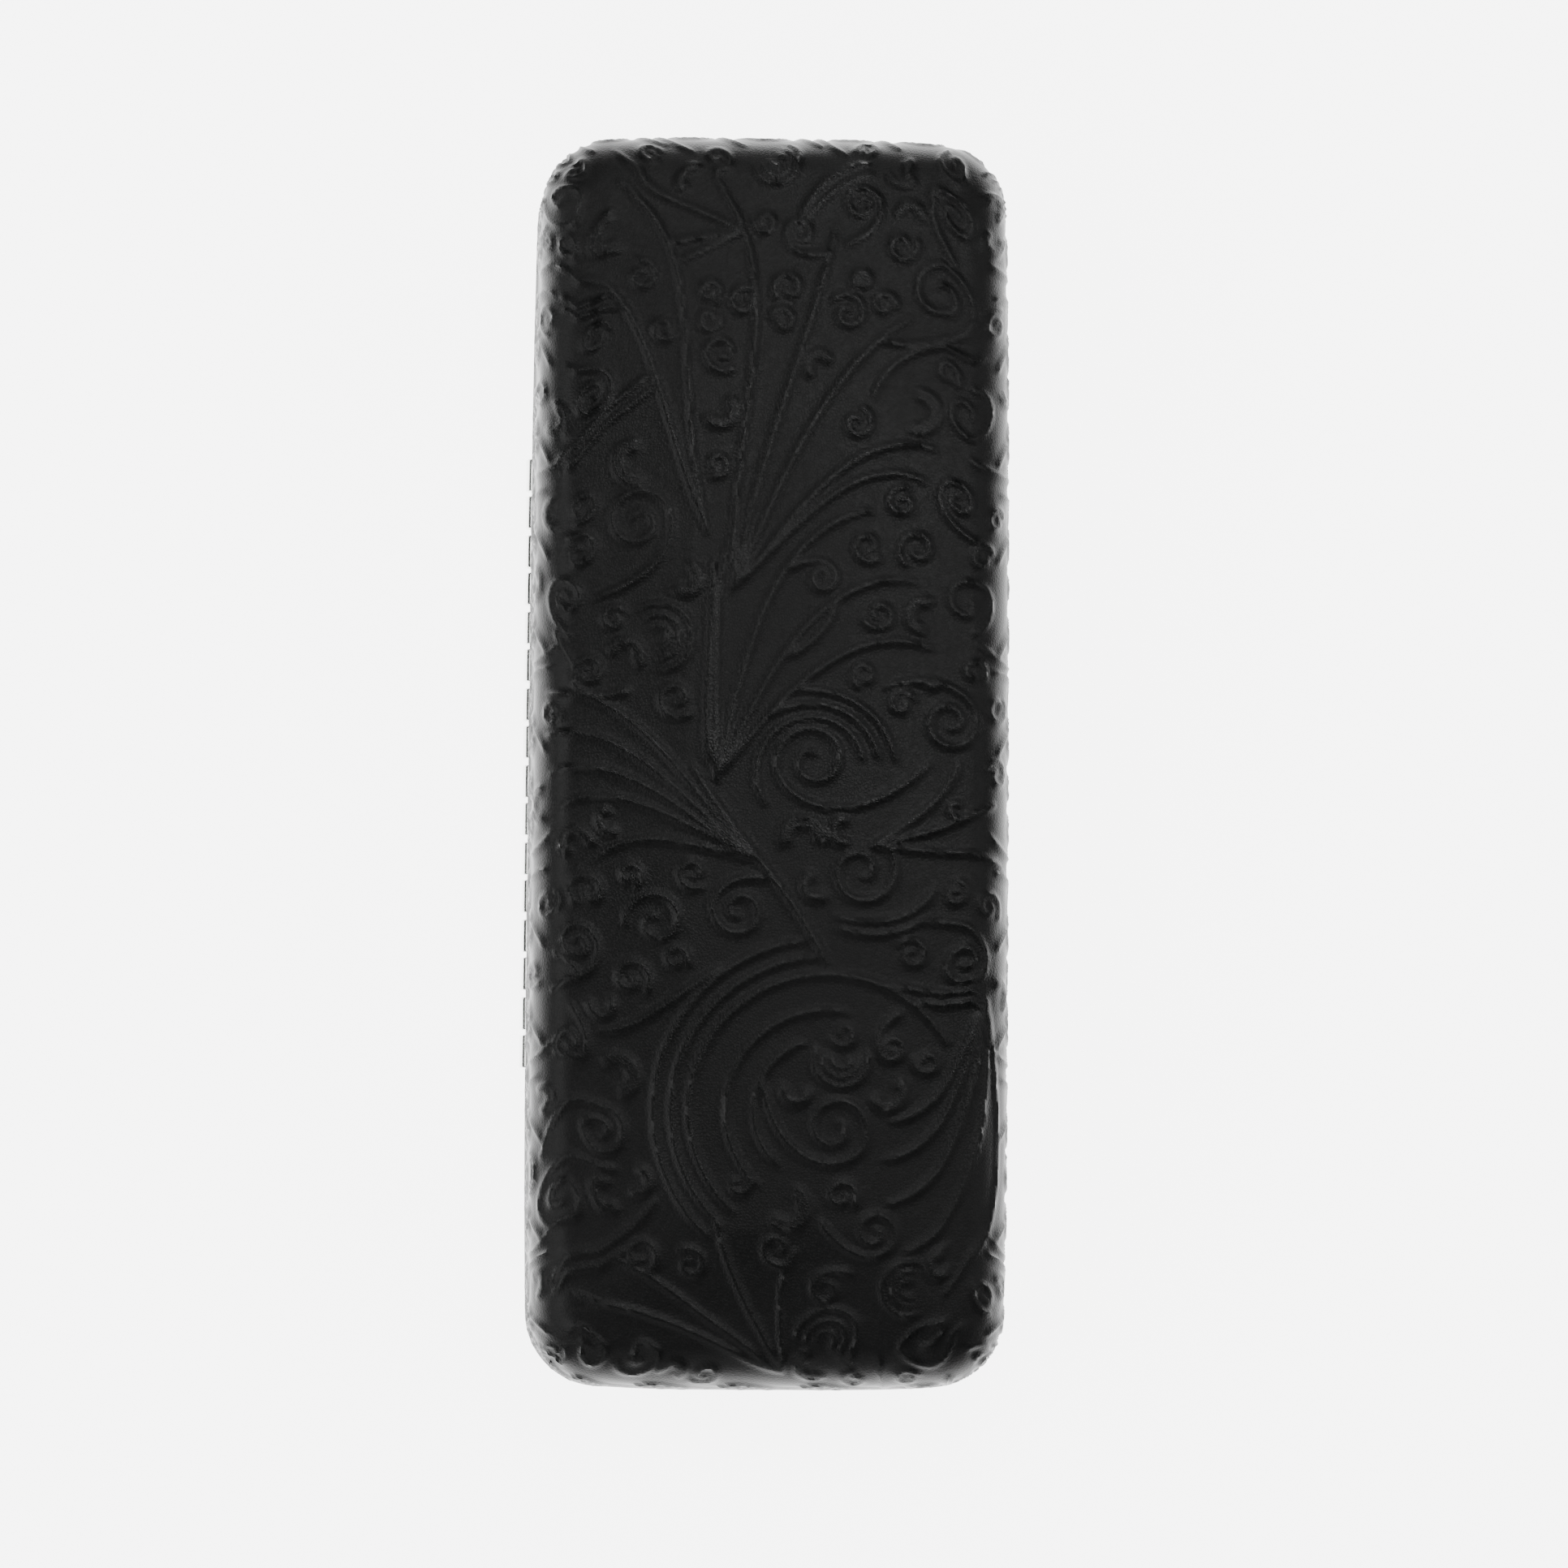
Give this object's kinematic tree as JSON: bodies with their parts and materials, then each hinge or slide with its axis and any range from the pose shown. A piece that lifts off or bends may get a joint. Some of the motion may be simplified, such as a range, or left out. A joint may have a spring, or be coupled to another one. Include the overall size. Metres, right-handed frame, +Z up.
{
  "type": "eyeglasses case",
  "caption": "Hard clamshell case for folded eyeglasses: embossed leatherette over steel half shells, plush lined, with a knuckle hinge and snap springs.",
  "frame": {"origin": "middle of the flat underside that the case rests on", "axes": "+X along the hinge, -Y towards the opening side, +Y towards the hinge side, +Z up"},
  "size_m": [0.161, 0.0626, 0.037],
  "materials": {
    "leatherette": "black embossed leatherette with a satin sheen",
    "shell_steel": "pressed sheet",
    "hinge_nickel": "bright nickel plate",
    "spring_steel": "rolled spring strip",
    "moulded_tray": "moulded, matt",
    "plush": "short pile"
  },
  "bodies": {
    "base": {"base_leatherette_cover": "leatherette", "base_steel_shell": "shell_steel", "base_liner_tray": "moulded_tray", "base_plush_lining": "plush", "base_hinge_leaf": "hinge_nickel", "base_hinge_rivet_1": "hinge_nickel", "base_hinge_rivet_2": "hinge_nickel", "base_hinge_rivet_3": "hinge_nickel", "base_hinge_rivet_4": "hinge_nickel", "hinge_pin": "hinge_nickel"},
    "lid": {"lid_leatherette_cover": "leatherette", "lid_steel_shell": "shell_steel", "lid_liner_tray": "moulded_tray", "lid_plush_lining": "plush", "lid_hinge_leaf": "hinge_nickel", "lid_hinge_rivet_1": "hinge_nickel", "lid_hinge_rivet_2": "hinge_nickel", "lid_hinge_rivet_3": "hinge_nickel", "lid_hinge_rivet_4": "hinge_nickel"},
    "left_spring": {"snap_spring_left": "spring_steel"},
    "right_spring": {"snap_spring_right": "spring_steel"}
  },
  "joints": [
    {"name": "lid_hinge", "type": "hinge", "parent": "base", "child": "lid", "pos_m": [0, 0.03043, 0.0185], "axis": [-1, 0, 0], "range_deg": [0, 100]},
    {"name": "left_spring_swing", "type": "hinge", "parent": "base", "child": "left_spring", "pos_m": [-0.0185, 0.02888, 0.01525], "axis": [-1, 0, 0], "range_deg": [0, 50], "deforming": ["snap_spring_left"]},
    {"name": "right_spring_swing", "type": "hinge", "parent": "base", "child": "right_spring", "pos_m": [0.0185, 0.02888, 0.01525], "axis": [-1, 0, 0], "range_deg": [0, 50], "deforming": ["snap_spring_right"]}
  ],
  "couplings": [
    {"joint": "left_spring_swing", "follows": "lid_hinge", "ratio": 0.5},
    {"joint": "right_spring_swing", "follows": "lid_hinge", "ratio": 0.5}
  ]
}
